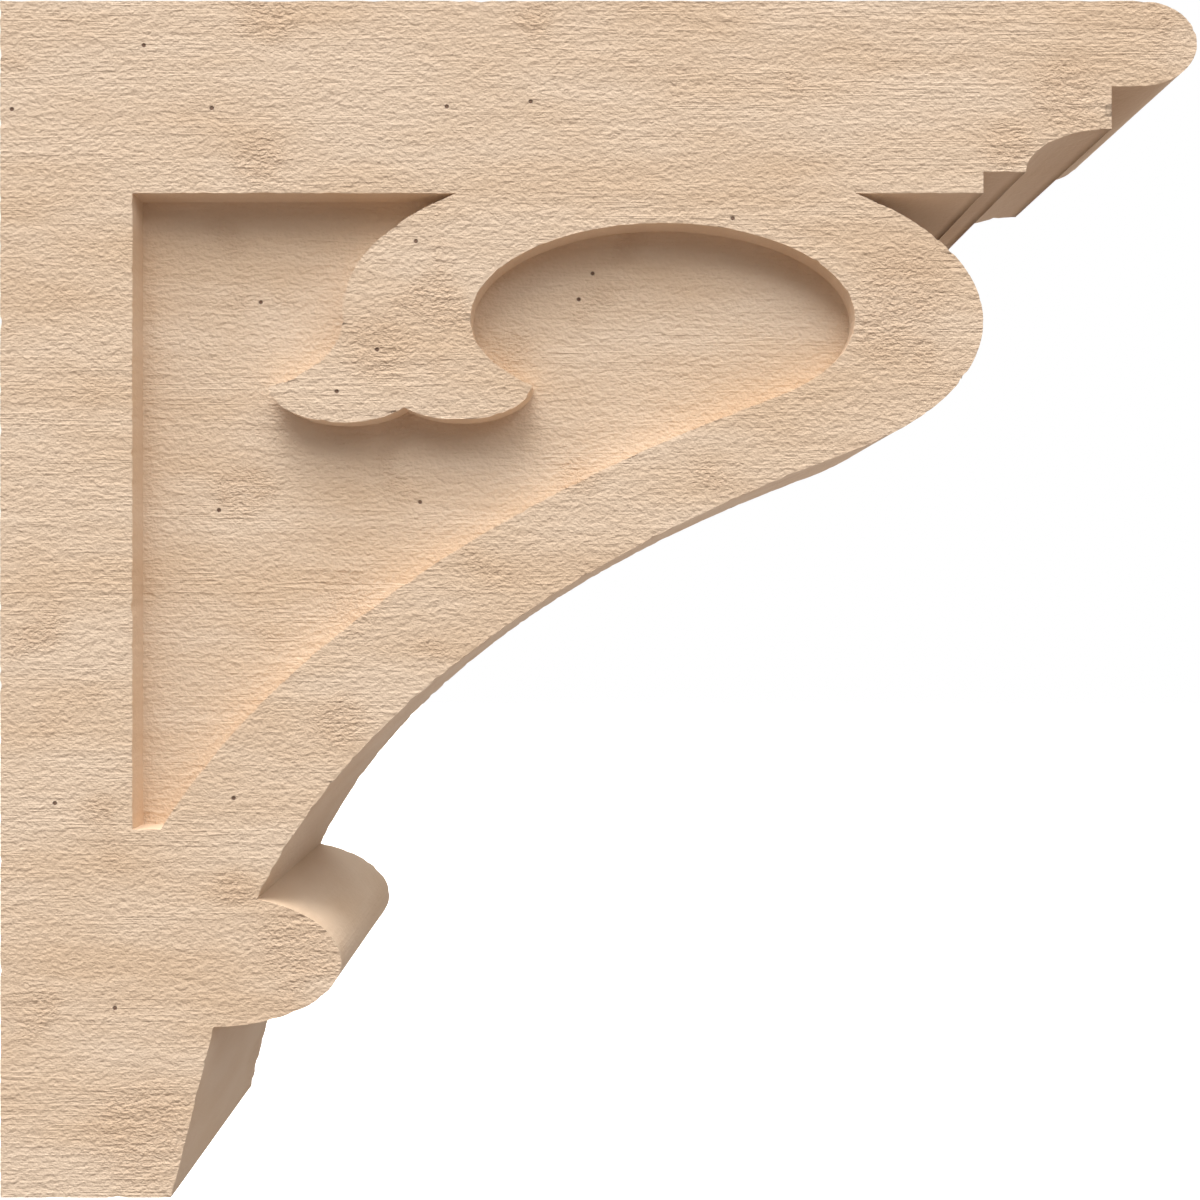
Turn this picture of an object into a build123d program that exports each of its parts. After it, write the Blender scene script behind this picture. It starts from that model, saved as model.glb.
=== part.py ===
from build123d import *
from math import atan2, degrees, hypot, sqrt
import os

# A corbel cut from one rough-sawn timber. A bar lies flat against the wall, a rail carries what stands
# above, and a curved ribbon springs from a bead at the foot and rolls into a scroll under the rail.
# The scroll ends in a small leaf. Between bar, rail and ribbon both faces are sunk to a flat ground.
# Lengths are in millimetres. X runs out from the wall, Y across the timber and Z up. The origin is
# the middle of the face that meets the wall.

# Overall sizes: 14 in out, 14 in high, from a timber 3 1/2 in thick
projection = 355.6
height = 355.6
thickness = 88.9

# Every large curve is a circle of a drawing that is then spread to this many times its width
spread = 2.0

# Moulded end of the rail: rounded nose, fillet, hollow, fillet and a last small step
nose_height = 25.4
nose_reach = 17.0
nose_return = 8.4
upper_fillet_drop = 12.7
cove_drop = 12.7
lower_fillet_width = 12.7
last_step_drop = 6.35

# Scroll under the rail and the ribbon that runs from it, radii and widths as measured upwards
scroll_radius = 47.625
crown_overlap = 9.525
ribbon_width = 19.05
inner_edge_rise = 0.7
leg_radius = 231.775

# Foot, and the bead above it that the leg of the ribbon lands on
foot_width = 50.8
foot_height = 50.8
foot_flare = 12.7
bead_stand = 37.8
bead_drop = 19.05
bead_rise = 20.0
landing_inset = 12.7

# Sunk ground between bar, rail and ribbon
ground_depth = 8.9
bar_width = 39.3
toe_width = 8.4

# Leaf at the end of the scroll: two lobes that meet in a cusp, with a hollow flare above each tip
temple_tuck = 3.175
wall_tip_reach = 22.0
wall_tip_drop = 19.5
wall_lobe_sag = 7.4
eye_tip_reach = 18.3
eye_tip_drop = 19.0
eye_lobe_sag = 6.8
cusp_inset = 18.4
cusp_drop = 25.5


class Round:
    """A circle of the drawing: its centre is (x / spread, z) and its radius is measured upwards."""

    def __init__(self, x, z, radius):
        self.x = x
        self.z = z
        self.radius = radius

    def angle_to(self, point):
        """Direction from the centre to a point of the drawing, in degrees."""
        return degrees(atan2(point[1] - self.z, point[0] - self.x))

    def towards(self, other):
        """The point of this circle that lies towards the centre of another."""
        reach = self.radius / hypot(other.x - self.x, other.z - self.z)
        return (self.x + (other.x - self.x) * reach, self.z + (other.z - self.z) * reach)

    def raised(self, rise, growth):
        """The same circle moved up and made larger."""
        return Round(self.x, self.z + rise, self.radius + growth)


def real(point):
    """A point of the drawing, spread to its real place."""
    return (point[0] * spread, point[1])


def draw(round_, start, end, clockwise):
    """Add the stretch of a circle between two of its points, spread to its real width."""
    start_angle = round_.angle_to(start)
    turn = (round_.angle_to(end) - start_angle) % 360
    if clockwise:
        turn -= 360
    return EllipticalCenterArc(
        real((round_.x, round_.z)),
        round_.radius * spread,
        round_.radius,
        start_angle=start_angle,
        arc_size=turn,
    )


def through(anchor, far, radius):
    """The circle of this radius through one point that touches another circle from the far side."""
    reach = far.radius + radius
    gap = hypot(anchor[0] - far.x, anchor[1] - far.z)
    along = (gap**2 + reach**2 - radius**2) / (2 * gap)
    aside = sqrt(reach**2 - along**2)
    unit = ((anchor[0] - far.x) / gap, (anchor[1] - far.z) / gap)
    return Round(
        far.x + unit[0] * along - unit[1] * aside,
        far.z + unit[1] * along + unit[0] * aside,
        radius,
    )


def flare(edge, tip):
    """The circle that leaves a point of the neck straight down and passes through a tip."""
    side = tip[0] - edge[0]
    radius = (side**2 + (tip[1] - edge[1]) ** 2) / (2 * abs(side))
    return Round(edge[0] + (radius if side > 0 else -radius), edge[1], radius)


def bulge(left, right, sag):
    """The circle through two points that hangs below the line between them by a given sag."""
    chord = (right[0] - left[0], right[1] - left[1])
    half = hypot(*chord) / 2
    radius = (half**2 + sag**2) / (2 * sag)
    lift = (radius - sag) / (2 * half)
    return Round(
        (left[0] + right[0]) / 2 - chord[1] * lift,
        (left[1] + right[1]) / 2 + chord[0] * lift,
        radius,
    )


# Levels and stations of the rail and its moulded end
top = height / 2
foot = -height / 2
nose_z = top - nose_height / 2
nose_foot = top - nose_height
nose_x = projection - nose_reach
return_x = nose_x - nose_return
cove_top = nose_foot - upper_fillet_drop
cove_foot = cove_top - cove_drop
cove_x = return_x - spread * cove_drop
rail_corner = cove_x - lower_fillet_width
rail_under = cove_foot - last_step_drop

# Levels and stations of the foot
neck_x = foot_width + foot_flare
bead_foot = foot + foot_height
bead_z = bead_foot + bead_drop
landing_x = neck_x + landing_inset
landing_share = landing_inset / bead_stand
landing_z = bead_z + bead_rise * sqrt(1 - landing_share**2)
landing_angle = degrees(atan2(sqrt(1 - landing_share**2), landing_share))

# Outer edge of the ribbon: the scroll hangs from the rail and stands out as far as the rail's corner,
# and the leg's hollow curve touches it and comes down on top of the bead
scroll = Round(
    rail_corner / spread - scroll_radius,
    rail_under + crown_overlap - scroll_radius,
    scroll_radius,
)
scroll_start = (
    scroll.x + sqrt(scroll_radius**2 - (scroll_radius - crown_overlap) ** 2),
    rail_under,
)
landing = (landing_x / spread, landing_z)
leg = through(landing, scroll, leg_radius)
leg_start = scroll.towards(leg)

# Inner edge of the ribbon: the eye of the scroll and the curve that runs on from it to the toe
eye = scroll.raised(inner_edge_rise, -ribbon_width)
inner_leg = leg.raised(inner_edge_rise, ribbon_width)
inner_start = eye.towards(inner_leg)
toe_x = (bar_width + toe_width) / spread
toe = (toe_x, inner_leg.z + sqrt(inner_leg.radius**2 - (inner_leg.x - toe_x) ** 2))

# Head of the scroll on the wall side, down to the neck from which the leaf hangs
temple = Round(scroll.x - temple_tuck, scroll.z + temple_tuck, scroll_radius - temple_tuck)
neck_wall = (scroll.x - scroll_radius, scroll.z)
neck_eye = (eye.x - eye.radius, eye.z)
temple_start = (
    temple.x - sqrt(temple.radius**2 - (rail_under - temple.z) ** 2),
    rail_under,
)
temple_end = (neck_wall[0], temple.z)

# Tips and cusp of the leaf, with the curves that join them
wall_tip = (neck_wall[0] - wall_tip_reach / spread, scroll.z - wall_tip_drop)
eye_tip = (neck_eye[0] + eye_tip_reach / spread, scroll.z - eye_tip_drop)
cusp = (neck_wall[0] + cusp_inset / spread, scroll.z - cusp_drop)
wall_flare = flare(neck_wall, wall_tip)
eye_flare = flare(neck_eye, eye_tip)
wall_lobe = bulge(wall_tip, cusp, wall_lobe_sag)
eye_lobe = bulge(cusp, eye_tip, eye_lobe_sag)

with BuildPart() as corbel:
    # Side outline, from the top of the wall face outwards and round to the foot
    with BuildSketch(Plane.XZ.offset(-thickness / 2)):
        with BuildLine():
            Line((0, top), (nose_x, top))
            EllipticalCenterArc((nose_x, nose_z), nose_reach, nose_height / 2, start_angle=90, arc_size=-180)
            Polyline((nose_x, nose_foot), (return_x, nose_foot), (return_x, cove_top))
            EllipticalCenterArc(
                (return_x, cove_foot), return_x - cove_x, cove_drop, start_angle=90, arc_size=90
            )
            Polyline(
                (cove_x, cove_foot),
                (rail_corner, cove_foot),
                (rail_corner, rail_under),
                real(scroll_start),
            )
            draw(scroll, scroll_start, leg_start, clockwise=True)
            draw(leg, leg_start, landing, clockwise=False)
            EllipticalCenterArc(
                (neck_x, bead_z), bead_stand, bead_rise, start_angle=landing_angle, arc_size=-landing_angle
            )
            EllipticalCenterArc((neck_x, bead_z), bead_stand, bead_drop, start_angle=0, arc_size=-90)
            Polyline((neck_x, bead_foot), (foot_width, foot), (0, foot), (0, top))
        make_face()
    extrude(amount=thickness)

    # Ground sunk into both faces, around the head of the scroll, its eye and its leaf
    with BuildSketch(Plane.XZ.offset(thickness / 2), Plane.XZ.offset(-thickness / 2)):
        with BuildLine():
            Line((bar_width, rail_under), real(temple_start))
            draw(temple, temple_start, temple_end, clockwise=False)
            Line(real(temple_end), real(neck_wall))
            draw(wall_flare, neck_wall, wall_tip, clockwise=True)
            draw(wall_lobe, wall_tip, cusp, clockwise=False)
            draw(eye_lobe, cusp, eye_tip, clockwise=False)
            draw(eye_flare, eye_tip, neck_eye, clockwise=True)
            draw(eye, neck_eye, inner_start, clockwise=True)
            draw(inner_leg, inner_start, toe, clockwise=False)
            Polyline(real(toe), (bar_width, toe[1]), (bar_width, rail_under))
        make_face()
    extrude(amount=ground_depth, both=True, mode=Mode.SUBTRACT)

corbel.part.label = "corbel"

os.makedirs("parts", exist_ok=True)
export_step(corbel.part, "parts/corbel.step")
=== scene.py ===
import math

import bmesh
import bpy
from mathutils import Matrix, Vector


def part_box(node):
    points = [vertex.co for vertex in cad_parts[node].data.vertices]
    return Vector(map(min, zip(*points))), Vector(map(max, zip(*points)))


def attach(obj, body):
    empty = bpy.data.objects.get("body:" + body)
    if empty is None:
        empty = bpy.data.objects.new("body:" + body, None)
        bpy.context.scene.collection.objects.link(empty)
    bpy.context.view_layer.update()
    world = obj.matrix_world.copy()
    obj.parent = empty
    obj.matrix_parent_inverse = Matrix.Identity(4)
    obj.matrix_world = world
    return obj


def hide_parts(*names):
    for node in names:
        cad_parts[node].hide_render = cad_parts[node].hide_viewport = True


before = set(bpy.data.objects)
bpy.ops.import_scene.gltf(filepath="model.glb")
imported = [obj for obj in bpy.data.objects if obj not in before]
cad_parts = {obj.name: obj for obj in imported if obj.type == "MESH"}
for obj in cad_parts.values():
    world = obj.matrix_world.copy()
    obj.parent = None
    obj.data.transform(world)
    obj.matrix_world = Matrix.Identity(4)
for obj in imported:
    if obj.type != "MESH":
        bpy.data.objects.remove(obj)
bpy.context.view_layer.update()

# The viewpoint
# The side of the corbel is seen square on from close by, level with its middle, so that the undersides
# of the moulded end, the ribbon and the foot show in perspective.
MM = 0.001
FACE_LEVEL = 44.45
CAMERA_DISTANCE = 385.0
FRAME_WIDTH = 356.33

camera_data = bpy.data.cameras.new("camera")
camera_data.sensor_width = 36.0
camera_data.lens = camera_data.sensor_width * CAMERA_DISTANCE / FRAME_WIDTH
camera_data.clip_start = 0.01
camera = bpy.data.objects.new("camera", camera_data)
camera.location = (178.2 * MM, -(FACE_LEVEL + CAMERA_DISTANCE) * MM, -0.2 * MM)
camera.rotation_euler = (math.radians(90), 0, 0)
bpy.context.scene.collection.objects.link(camera)
bpy.context.scene.camera = camera

# The corbel
# One piece of unpainted rough-sawn softwood, cut to its outline on a band saw and carved on both sides.
# It is screwed to the wall through its bar and carries an eave, a beam or a shelf on its rail.

# Cells of the finely cut mesh: every half inch of height takes 18 rows, so the rows meet the mouldings
HALF_INCHES = 28
ROWS = 18
COLUMNS = 4
SLICES = 16

# Marks pressed into the mesh
RELIEF = {
    "Half thickness": FACE_LEVEL * MM,
    "Mark length": 55 * MM,
    "Mark pitch": 5.0 * MM,
    "Mark depth": 0.25 * MM,
    "Torn patch": 24 * MM,
    "Tear length": 6.5 * MM,
    "Tear height": 2.4 * MM,
    "Tear depth": 0.7 * MM,
    "Kerf pitch": 6 * MM,
    "Kerf depth": 0.2 * MM,
    "Wear length": 4 * MM,
    "Wear depth": 0.45 * MM,
    "Seed": 7.0,
}

# Patches where the saw tore the fibre of the seen face: out from the wall, up from the middle, reach
TORN_SPOTS = (
    (80, 174, 13),
    (317, 150, 16),
    (300, 135, 12),
    (268, 92, 20),
    (262, 80, 15),
    (112, 76, 15),
    (77, 131, 12),
    (102, 0, 16),
    (101, -36, 12),
    (88, -101, 18),
    (43, -158, 24),
)

# Small pits through the thickness, darkened with painted shade for their hollows: out from the wall and
# up from the middle
SHADED_PITS = (
    (3.5, 145.5),
    (42.7, 164.5),
    (62.9, 145.8),
    (132.7, 146.3),
    (157.6, 147.8),
    (75.1, 90.2),
    (123.5, 106.3),
    (171.7, 91.1),
    (175.9, 99.0),
    (217.6, 113.1),
    (111.9, 74.2),
    (100.0, 61.7),
    (123.5, 29.5),
    (62.4, 27.0),
    (69.4, -59.1),
    (16.3, -60.6),
    (34.1, -121.5),
)


def cut_across(mesh, axis, low, high, count):
    """Cut the faces of a mesh where evenly spaced planes, square to one axis, cross them."""
    for i in range(1, count):
        level = low + (high - low) * i / count
        place, square = Vector(), Vector()
        place[axis], square[axis] = level, 1.0
        faces = [
            f
            for f in mesh.faces
            if min(v.co[axis] for v in f.verts) < level < max(v.co[axis] for v in f.verts)
        ]
        edges = {e for f in faces for e in f.edges}
        verts = {v for f in faces for v in f.verts}
        bmesh.ops.bisect_plane(
            mesh, geom=[*faces, *edges, *verts], dist=1e-6, plane_co=place, plane_no=square
        )


def finely_cut(node):
    """A copy of a CAD node's mesh in long low cells, fine enough to carry the saw marks."""
    low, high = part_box(node.name)
    cut = bmesh.new()
    cut.from_mesh(node.data)
    bmesh.ops.remove_doubles(cut, verts=cut.verts, dist=1e-6)
    bmesh.ops.dissolve_limit(cut, angle_limit=math.radians(0.05), verts=cut.verts, edges=cut.edges)
    cut_across(cut, 2, low.z, high.z, HALF_INCHES * ROWS)
    cut_across(cut, 1, low.y, high.y, SLICES)
    cut_across(cut, 0, low.x, high.x, HALF_INCHES * COLUMNS)
    for face in cut.faces:
        face.smooth = True
    for edge in cut.edges:
        edge.smooth = edge.calc_face_angle(0) < math.radians(30)
    mesh = bpy.data.meshes.new("corbel_timber")
    cut.to_mesh(mesh)
    cut.free()
    return mesh


def socket(side, key):
    """A node's socket by its number, its name or, where several share a name, its identifier."""
    if isinstance(key, int) or key in side:
        return side[key]
    return next(s for s in side if s.identifier == key)


def add(tree, kind, inputs=None, take=0, **settings):
    """Add a node with its settings, link or set its inputs, and return one of its outputs."""
    node = tree.nodes.new(kind)
    for name, value in settings.items():
        setattr(node, name, value)
    for key, value in (inputs or {}).items():
        if isinstance(value, bpy.types.NodeSocket):
            tree.links.new(value, socket(node.inputs, key))
        else:
            socket(node.inputs, key).default_value = value
    return socket(node.outputs, take) if len(node.outputs) else node


def sawn_relief():
    """Geometry Nodes that press saw marks, torn fibre and worn arrises into a finely cut timber."""
    tree = bpy.data.node_groups.new("sawn_relief", "GeometryNodeTree")
    tree.interface.new_socket("Geometry", in_out="INPUT", socket_type="NodeSocketGeometry")
    for name in RELIEF:
        tree.interface.new_socket(name, in_out="INPUT", socket_type="NodeSocketFloat")
    tree.interface.new_socket("Material", in_out="INPUT", socket_type="NodeSocketMaterial")
    tree.interface.new_socket("Geometry", in_out="OUTPUT", socket_type="NodeSocketGeometry")
    given = tree.nodes.new("NodeGroupInput").outputs
    place = add(tree, "GeometryNodeInputPosition")
    normal = add(tree, "GeometryNodeInputNormal")

    # A noise for each kind of mark, stretched to its size along, across and up the timber
    noise = {}
    for name, along, across, up in (
        ("mark", "Mark length", "Mark length", "Mark pitch"),
        ("patch", "Torn patch", "Torn patch", "Torn patch"),
        ("tear", "Tear length", "Tear length", "Tear height"),
        ("kerf", "Kerf pitch", "Mark length", "Kerf pitch"),
        ("wear", "Wear length", "Wear length", "Wear length"),
    ):
        size = add(
            tree, "ShaderNodeCombineXYZ", {"X": given[along], "Y": given[across], "Z": given[up]}
        )
        scaled = add(tree, "ShaderNodeVectorMath", {0: place, 1: size}, operation="DIVIDE")
        noise[name] = add(
            tree,
            "ShaderNodeTexNoise",
            {"Vector": scaled, "W": given["Seed"], "Scale": 1.0, "Detail": 1.0},
            noise_dimensions="4D",
        )

    # Where the fibre is torn: by chance anywhere, and at the patches that the seen face has
    torn = add(
        tree,
        "ShaderNodeMapRange",
        {"Value": noise["patch"], "From Min": 0.6, "From Max": 0.72},
        interpolation_type="SMOOTHSTEP",
    )
    for out, up, reach in TORN_SPOTS:
        away = add(
            tree,
            "ShaderNodeVectorMath",
            {0: place, 1: (out * MM, -FACE_LEVEL * MM, up * MM)},
            take="Value",
            operation="DISTANCE",
        )
        spot = add(
            tree,
            "ShaderNodeMapRange",
            {"Value": away, "From Min": reach * MM, "From Max": 0.3 * reach * MM},
            interpolation_type="SMOOTHSTEP",
        )
        torn = add(tree, "ShaderNodeMath", {0: torn, 1: spot}, operation="MAXIMUM")

    # Which points lie on a side face or a sunk ground, and which on the arris of a side face
    lean = add(tree, "ShaderNodeSeparateXYZ", {"Vector": normal}, take="Y")
    size_of_lean = add(tree, "ShaderNodeMath", {0: lean}, operation="ABSOLUTE")
    square_on = add(tree, "ShaderNodeMath", {0: size_of_lean, 1: 0.9}, operation="GREATER_THAN")
    share = add(
        tree, "GeometryNodeFieldOnDomain", {"Value": square_on}, domain="FACE", data_type="FLOAT"
    )
    on_side = add(tree, "ShaderNodeMath", {0: share, 1: 0.01}, operation="GREATER_THAN")
    off_side = add(tree, "ShaderNodeMath", {0: 1.0, 1: on_side}, operation="SUBTRACT")
    on_border = add(tree, "ShaderNodeMath", {0: share, 1: 0.99}, operation="LESS_THAN")
    aside = add(tree, "ShaderNodeSeparateXYZ", {"Vector": place}, take="Y")
    size_of_aside = add(tree, "ShaderNodeMath", {0: aside}, operation="ABSOLUTE")
    near_face = add(
        tree,
        "ShaderNodeMath",
        {0: size_of_aside, 1: given["Half thickness"], 2: 0.1 * MM},
        operation="COMPARE",
    )

    # Side faces: shallow saw marks all over and deeper tears in the torn patches
    mark_depth = add(
        tree, "ShaderNodeMath", {0: noise["mark"], 1: given["Mark depth"]}, operation="MULTIPLY"
    )
    tear_depth = add(
        tree, "ShaderNodeMath", {0: noise["tear"], 1: given["Tear depth"]}, operation="MULTIPLY"
    )
    side_depth = add(
        tree, "ShaderNodeMath", {0: tear_depth, 1: torn, 2: mark_depth}, operation="MULTIPLY_ADD"
    )
    into = add(tree, "ShaderNodeMath", {0: lean}, operation="SIGN")
    into = add(tree, "ShaderNodeMath", {0: into, 1: -1.0}, operation="MULTIPLY")
    into = add(tree, "ShaderNodeMath", {0: into, 1: on_side}, operation="MULTIPLY")
    into = add(tree, "ShaderNodeMath", {0: into, 1: side_depth}, operation="MULTIPLY")
    side_push = add(tree, "ShaderNodeCombineXYZ", {"Y": into})

    # Cut edges: the blade's shallow waves, which run across the thickness
    wave = add(
        tree, "ShaderNodeMath", {0: noise["kerf"], 1: given["Kerf depth"]}, operation="MULTIPLY"
    )
    wave = add(tree, "ShaderNodeMath", {0: wave, 1: off_side}, operation="MULTIPLY")
    wave = add(tree, "ShaderNodeMath", {0: wave, 1: -1.0}, operation="MULTIPLY")
    edge_push = add(
        tree, "ShaderNodeVectorMath", {0: normal, "Scale": wave}, operation="SCALE"
    )

    # Arrises: fibre broken away here and there along the outline
    nibble = add(
        tree,
        "ShaderNodeMapRange",
        {"Value": noise["wear"], "From Min": 0.5, "From Max": 0.75},
        interpolation_type="SMOOTHSTEP",
    )
    nibble = add(tree, "ShaderNodeMath", {0: nibble, 1: given["Wear depth"]}, operation="MULTIPLY")
    nibble = add(tree, "ShaderNodeMath", {0: nibble, 1: on_border}, operation="MULTIPLY")
    nibble = add(tree, "ShaderNodeMath", {0: nibble, 1: near_face}, operation="MULTIPLY")
    nibble = add(tree, "ShaderNodeMath", {0: nibble, 1: -1.0}, operation="MULTIPLY")
    outward = add(tree, "ShaderNodeVectorMath", {0: normal, 1: (1, 0, 1)}, operation="MULTIPLY")
    outward = add(tree, "ShaderNodeVectorMath", {0: outward}, operation="NORMALIZE")
    arris_push = add(
        tree, "ShaderNodeVectorMath", {0: outward, "Scale": nibble}, operation="SCALE"
    )

    push = add(tree, "ShaderNodeVectorMath", {0: side_push, 1: edge_push}, operation="ADD")
    push = add(tree, "ShaderNodeVectorMath", {0: push, 1: arris_push}, operation="ADD")
    shape = add(
        tree,
        "GeometryNodeStoreNamedAttribute",
        {"Geometry": given["Geometry"], "Name": "torn", "Value": torn},
        data_type="FLOAT",
        domain="POINT",
    )
    shape = add(tree, "GeometryNodeSetPosition", {"Geometry": shape, "Offset": push})
    shape = add(tree, "GeometryNodeRealizeInstances", {"Geometry": shape})
    shape = add(
        tree, "GeometryNodeSetMaterial", {"Geometry": shape, "Material": given["Material"]}
    )
    add(tree, "NodeGroupOutput", {"Geometry": shape})
    return tree


def linear(colour):
    """An sRGB hex colour as the linear RGBA that nodes take."""
    parts = [int(colour[i : i + 2], 16) / 255 for i in (1, 3, 5)]
    return [c / 12.92 if c <= 0.04045 else ((c + 0.055) / 1.055) ** 2.4 for c in parts] + [1.0]


# Seasoned softwood as it leaves the saw: pale and warm, quite matt, with fine saw lines along the face
# and a fuzz of raised fibre between them that takes the light from above. Cut edges are smoother.
PALE_WOOD = "#DCC5AC"
WARM_WOOD = "#D5BA9D"
TORN_WOOD = "#CDAF91"
# Painted shade for the inside of the small pits
PIT_PAINTED_SHADE = "#6F5443"
LINE_HEIGHT = 0.05
FUZZ_HEIGHT = 0.4
LUMP_HEIGHT = 0.5
TEAR_HEIGHT = 0.5
PIT_DEPTH = 0.5
PIT_RADIUS = 0.6
EDGE_SHARE = 0.35


def rough_sawn_softwood():
    """The material of the whole corbel. Its patterns are sized in millimetres of the timber."""
    material = bpy.data.materials.new("rough_sawn_softwood")
    material.use_nodes = True
    tree = material.node_tree
    tree.nodes.clear()
    place = add(tree, "ShaderNodeTexCoord", take="Object")
    place = add(tree, "ShaderNodeVectorMath", {0: place, "Scale": 1 / MM}, operation="SCALE")
    torn = add(tree, "ShaderNodeAttribute", take="Fac", attribute_name="torn")

    # A noise for each pattern: its size along, across and up the timber, and how many finer octaves
    noise = {}
    for name, size, detail in (
        ("line", (55, 55, 2.3), 2),
        ("bundle", (70, 70, 11), 1),
        ("fuzz", (1.3, 1.3, 0.95), 2.5),
        ("lump", (3.2, 3.2, 2.0), 2),
        ("tear", (3.4, 3.4, 1.5), 4),
        ("tint", (60, 60, 18), 3),
    ):
        scaled = add(tree, "ShaderNodeVectorMath", {0: place, 1: size}, operation="DIVIDE")
        noise[name] = add(
            tree, "ShaderNodeTexNoise", {"Vector": scaled, "Scale": 1.0, "Detail": detail}
        )

    # Saw lines: thin ridges where the stretched noise passes its middle, stronger in some bundles
    off_line = add(tree, "ShaderNodeMath", {0: noise["line"], 1: 0.5}, operation="SUBTRACT")
    off_line = add(tree, "ShaderNodeMath", {0: off_line}, operation="ABSOLUTE")
    line = add(
        tree,
        "ShaderNodeMapRange",
        {"Value": off_line, "From Min": 0.07, "From Max": 0.0},
        interpolation_type="SMOOTHSTEP",
    )
    bundle = add(
        tree,
        "ShaderNodeMapRange",
        {"Value": noise["bundle"], "From Min": 0.35, "From Max": 0.65, "To Min": 0.3, "To Max": 1.5},
    )
    line = add(tree, "ShaderNodeMath", {0: line, 1: bundle}, operation="MULTIPLY")

    # Small pits, seen along the thickness: each sunk a little, with painted shade for the dark inside
    # it
    seen_flat = add(
        tree, "ShaderNodeVectorMath", {0: place, 1: (1, 0, 1)}, operation="MULTIPLY"
    )
    pit_dip_and_shade = 0.0
    for out, up in SHADED_PITS:
        away = add(
            tree,
            "ShaderNodeVectorMath",
            {0: seen_flat, 1: (out, 0, up)},
            take="Value",
            operation="DISTANCE",
        )
        hole = add(
            tree,
            "ShaderNodeMapRange",
            {"Value": away, "From Min": 1.3 * PIT_RADIUS, "From Max": 0.6 * PIT_RADIUS},
            interpolation_type="SMOOTHSTEP",
        )
        pit_dip_and_shade = add(tree, "ShaderNodeMath", {0: hole, 1: pit_dip_and_shade}, operation="MAXIMUM")

    # Heights in millimetres, one pattern on top of the last
    rough = add(tree, "ShaderNodeMath", {0: torn, 1: 0.8, 2: 1.0}, operation="MULTIPLY_ADD")
    height = add(tree, "ShaderNodeMath", {0: noise["fuzz"], 1: FUZZ_HEIGHT}, operation="MULTIPLY")
    height = add(tree, "ShaderNodeMath", {0: height, 1: rough}, operation="MULTIPLY")
    tear = add(tree, "ShaderNodeMath", {0: noise["tear"], 1: torn}, operation="MULTIPLY")
    for pattern, depth in (
        (line, LINE_HEIGHT),
        (noise["lump"], LUMP_HEIGHT),
        (tear, TEAR_HEIGHT),
        (pit_dip_and_shade, -PIT_DEPTH),
    ):
        height = add(
            tree, "ShaderNodeMath", {0: pattern, 1: depth, 2: height}, operation="MULTIPLY_ADD"
        )

    # The saw's bite is on the two sides. The cut edges keep a share of it.
    facing = add(tree, "ShaderNodeTexCoord", take="Normal")
    facing = add(tree, "ShaderNodeSeparateXYZ", {"Vector": facing}, take="Y")
    facing = add(tree, "ShaderNodeMath", {0: facing}, operation="ABSOLUTE")
    bite = add(
        tree,
        "ShaderNodeMapRange",
        {"Value": facing, "From Min": 0.6, "From Max": 0.8, "To Min": EDGE_SHARE, "To Max": 1.0},
    )
    height = add(tree, "ShaderNodeMath", {0: height, 1: bite}, operation="MULTIPLY")
    bump = add(tree, "ShaderNodeBump", {"Height": height, "Distance": 1 * MM, "Strength": 1.0})

    # Colour: pale and warm bands along the grain, duller where torn, and painted shade in the small
    # pits
    band = add(
        tree, "ShaderNodeMapRange", {"Value": noise["tint"], "From Min": 0.35, "From Max": 0.65}
    )
    colour = add(
        tree,
        "ShaderNodeMix",
        {"Factor": band, "A_Color": linear(PALE_WOOD), "B_Color": linear(WARM_WOOD)},
        take="Result_Color",
        data_type="RGBA",
    )
    dull = add(tree, "ShaderNodeMath", {0: tear, 1: 0.9}, operation="MULTIPLY")
    # The small pits take a dark colour here, which is painted shade standing in for their hollows
    for share, shade in ((dull, TORN_WOOD), (pit_dip_and_shade, PIT_PAINTED_SHADE)):
        colour = add(
            tree,
            "ShaderNodeMix",
            {"Factor": share, "A_Color": colour, "B_Color": linear(shade)},
            take="Result_Color",
            data_type="RGBA",
        )
    dryness = add(
        tree, "ShaderNodeMapRange", {"Value": noise["fuzz"], "To Min": 0.84, "To Max": 0.96}
    )
    surface = add(
        tree,
        "ShaderNodeBsdfPrincipled",
        {"Base Color": colour, "Roughness": dryness, "Normal": bump},
    )
    add(tree, "ShaderNodeOutputMaterial", {"Surface": surface})
    return material


corbel = bpy.data.objects.new("corbel_timber", finely_cut(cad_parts["corbel"]))
bpy.context.scene.collection.objects.link(corbel)
relief = corbel.modifiers.new("sawn_relief", "NODES")
relief.node_group = sawn_relief()
identifiers = {
    item.name: item.identifier
    for item in relief.node_group.interface.items_tree
    if item.in_out == "INPUT"
}
for name, value in RELIEF.items():
    relief[identifiers[name]] = value
relief[identifiers["Material"]] = rough_sawn_softwood()
graph = bpy.context.evaluated_depsgraph_get()
sawn = bpy.data.meshes.new_from_object(
    corbel.evaluated_get(graph), preserve_all_data_layers=True, depsgraph=graph
)
corbel.modifiers.clear()
corbel.data = sawn
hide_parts("corbel")
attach(corbel, "root")

# The studio
# A pale paper floor lies a metre below the corbel, which hangs free as it would on its wall. Large soft
# lamps light it mostly from above, and the room gives a little light from everywhere.
FLOOR_LEVEL = -1.0
FLOOR_REACH = 12.0
FLOOR_SHADE = "#71655E"
FLOOR_GLOW = 0.6
SKY_LEVEL = 0.2
LAMP_SPREAD = 40

# Each lamp's name, its height above the horizon, its turn to the right of the camera and its strength
LAMPS = (
    ("overhead_lamp", 80, 0, 0.65),
    ("high_front_lamp", 60, -20, 0.66),
    ("left_lamp", 40, -80, 0.45),
    ("front_lamp", 40, 20, 0.2),
    ("right_lamp", 40, 50, 0.2),
    ("back_lamp", 45, 180, 0.3),
)


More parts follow.
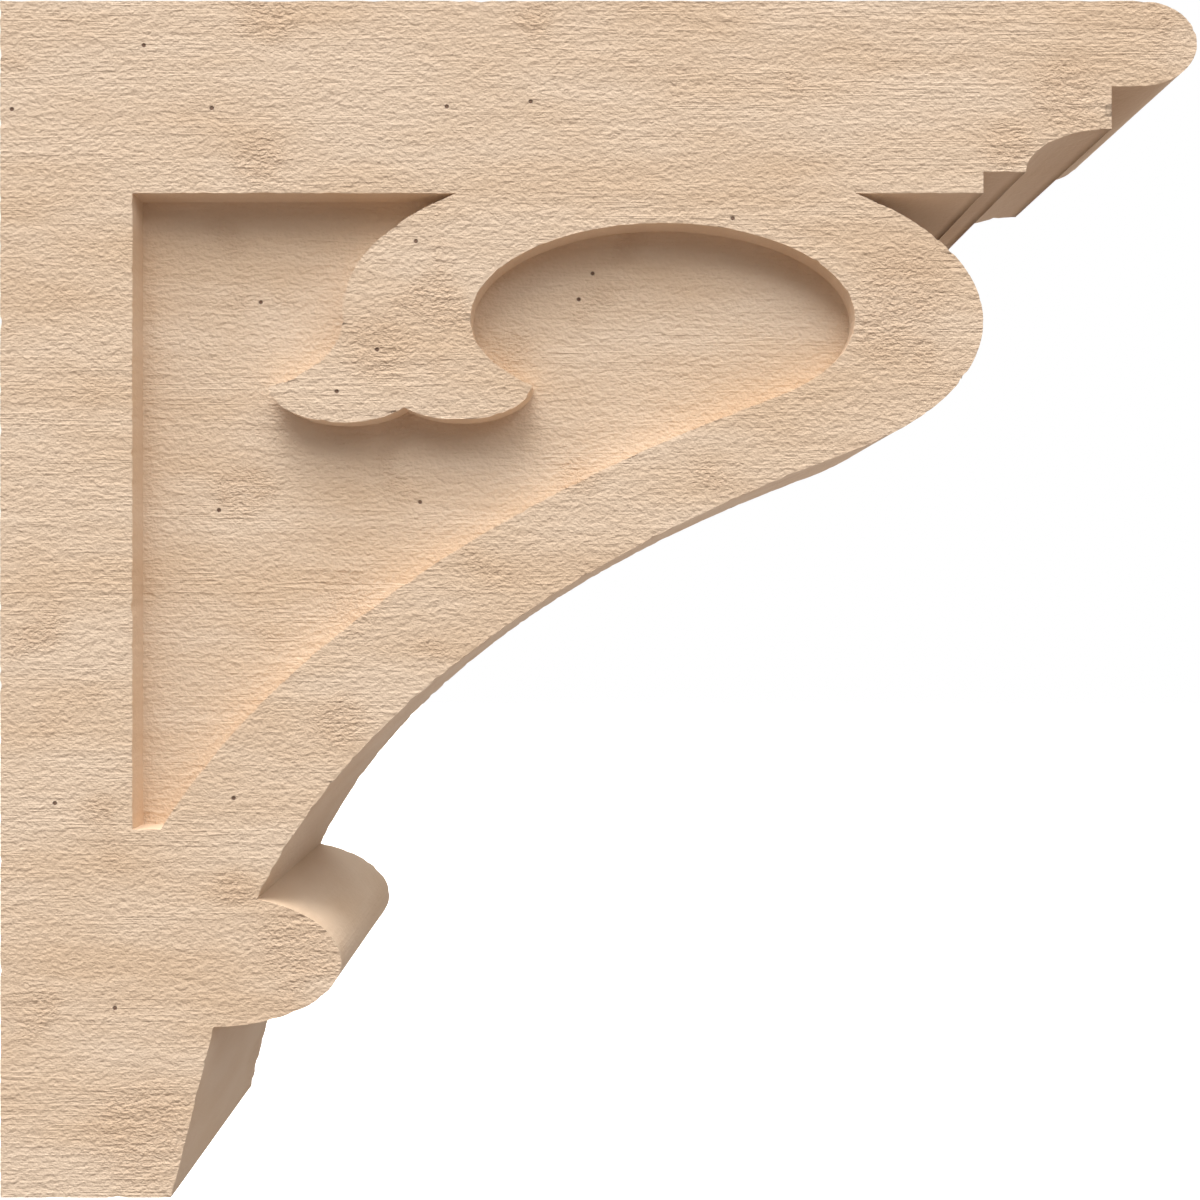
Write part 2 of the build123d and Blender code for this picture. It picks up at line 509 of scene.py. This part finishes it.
def background_share(tree):
    """1 for the rays that carry the background to the picture, and 0 for those that light things."""
    rays = tree.nodes.new("ShaderNodeLightPath").outputs
    share = rays["Is Camera Ray"]
    for kind in ("Is Glossy Ray", "Is Transmission Ray"):
        share = add(tree, "ShaderNodeMath", {0: share, 1: rays[kind]}, operation="MAXIMUM")
    return share


def white_paper():
    """Matt white paper. It shows white with its shadow, and throws less light up than it shows."""
    material = bpy.data.materials.new("matt_white_paper")
    material.use_nodes = True
    tree = material.node_tree
    tree.nodes.clear()
    paper = add(tree, "ShaderNodeBsdfDiffuse", {"Color": linear("#F4F4F2")})
    glow = add(tree, "ShaderNodeEmission", {"Color": linear("#FFFFFF"), "Strength": FLOOR_GLOW})
    shown = add(tree, "ShaderNodeAddShader", {0: paper, 1: glow})
    dim = add(tree, "ShaderNodeBsdfDiffuse", {"Color": linear(FLOOR_SHADE)})
    surface = add(tree, "ShaderNodeMixShader", {0: background_share(tree), 1: dim, 2: shown})
    add(tree, "ShaderNodeOutputMaterial", {"Surface": surface})
    return material


floor_mesh = bpy.data.meshes.new("floor")
corners = [(-1, -1), (1, -1), (1, 1), (-1, 1)]
floor_mesh.from_pydata(
    [(x * FLOOR_REACH, y * FLOOR_REACH, FLOOR_LEVEL) for x, y in corners], [], [(0, 1, 2, 3)]
)
floor_mesh.materials.append(white_paper())
floor = bpy.data.objects.new("floor", floor_mesh)
bpy.context.scene.collection.objects.link(floor)

world = bpy.data.worlds.new("room")
bpy.context.scene.world = world
world.use_nodes = True
world.node_tree.nodes.clear()
sky = add(
    world.node_tree,
    "ShaderNodeMix",
    {"Factor": background_share(world.node_tree), "A": SKY_LEVEL, "B": 1.0},
    data_type="FLOAT",
)
light = add(world.node_tree, "ShaderNodeBackground", {"Color": linear("#FFFFFF"), "Strength": sky})
add(world.node_tree, "ShaderNodeOutputWorld", {"Surface": light})

for name, height, turn, strength in LAMPS:
    lamp_data = bpy.data.lights.new(name, "SUN")
    lamp_data.energy = math.pi * strength
    lamp_data.angle = math.radians(LAMP_SPREAD)
    lamp = bpy.data.objects.new(name, lamp_data)
    up, right = math.radians(height), math.radians(turn)
    towards = Vector(
        (math.sin(right) * math.cos(up), -math.cos(right) * math.cos(up), math.sin(up))
    )
    lamp.rotation_mode = "QUATERNION"
    lamp.rotation_quaternion = towards.to_track_quat("Z", "Y")
    bpy.context.scene.collection.objects.link(lamp)

bpy.context.scene.view_settings.view_transform = "Standard"
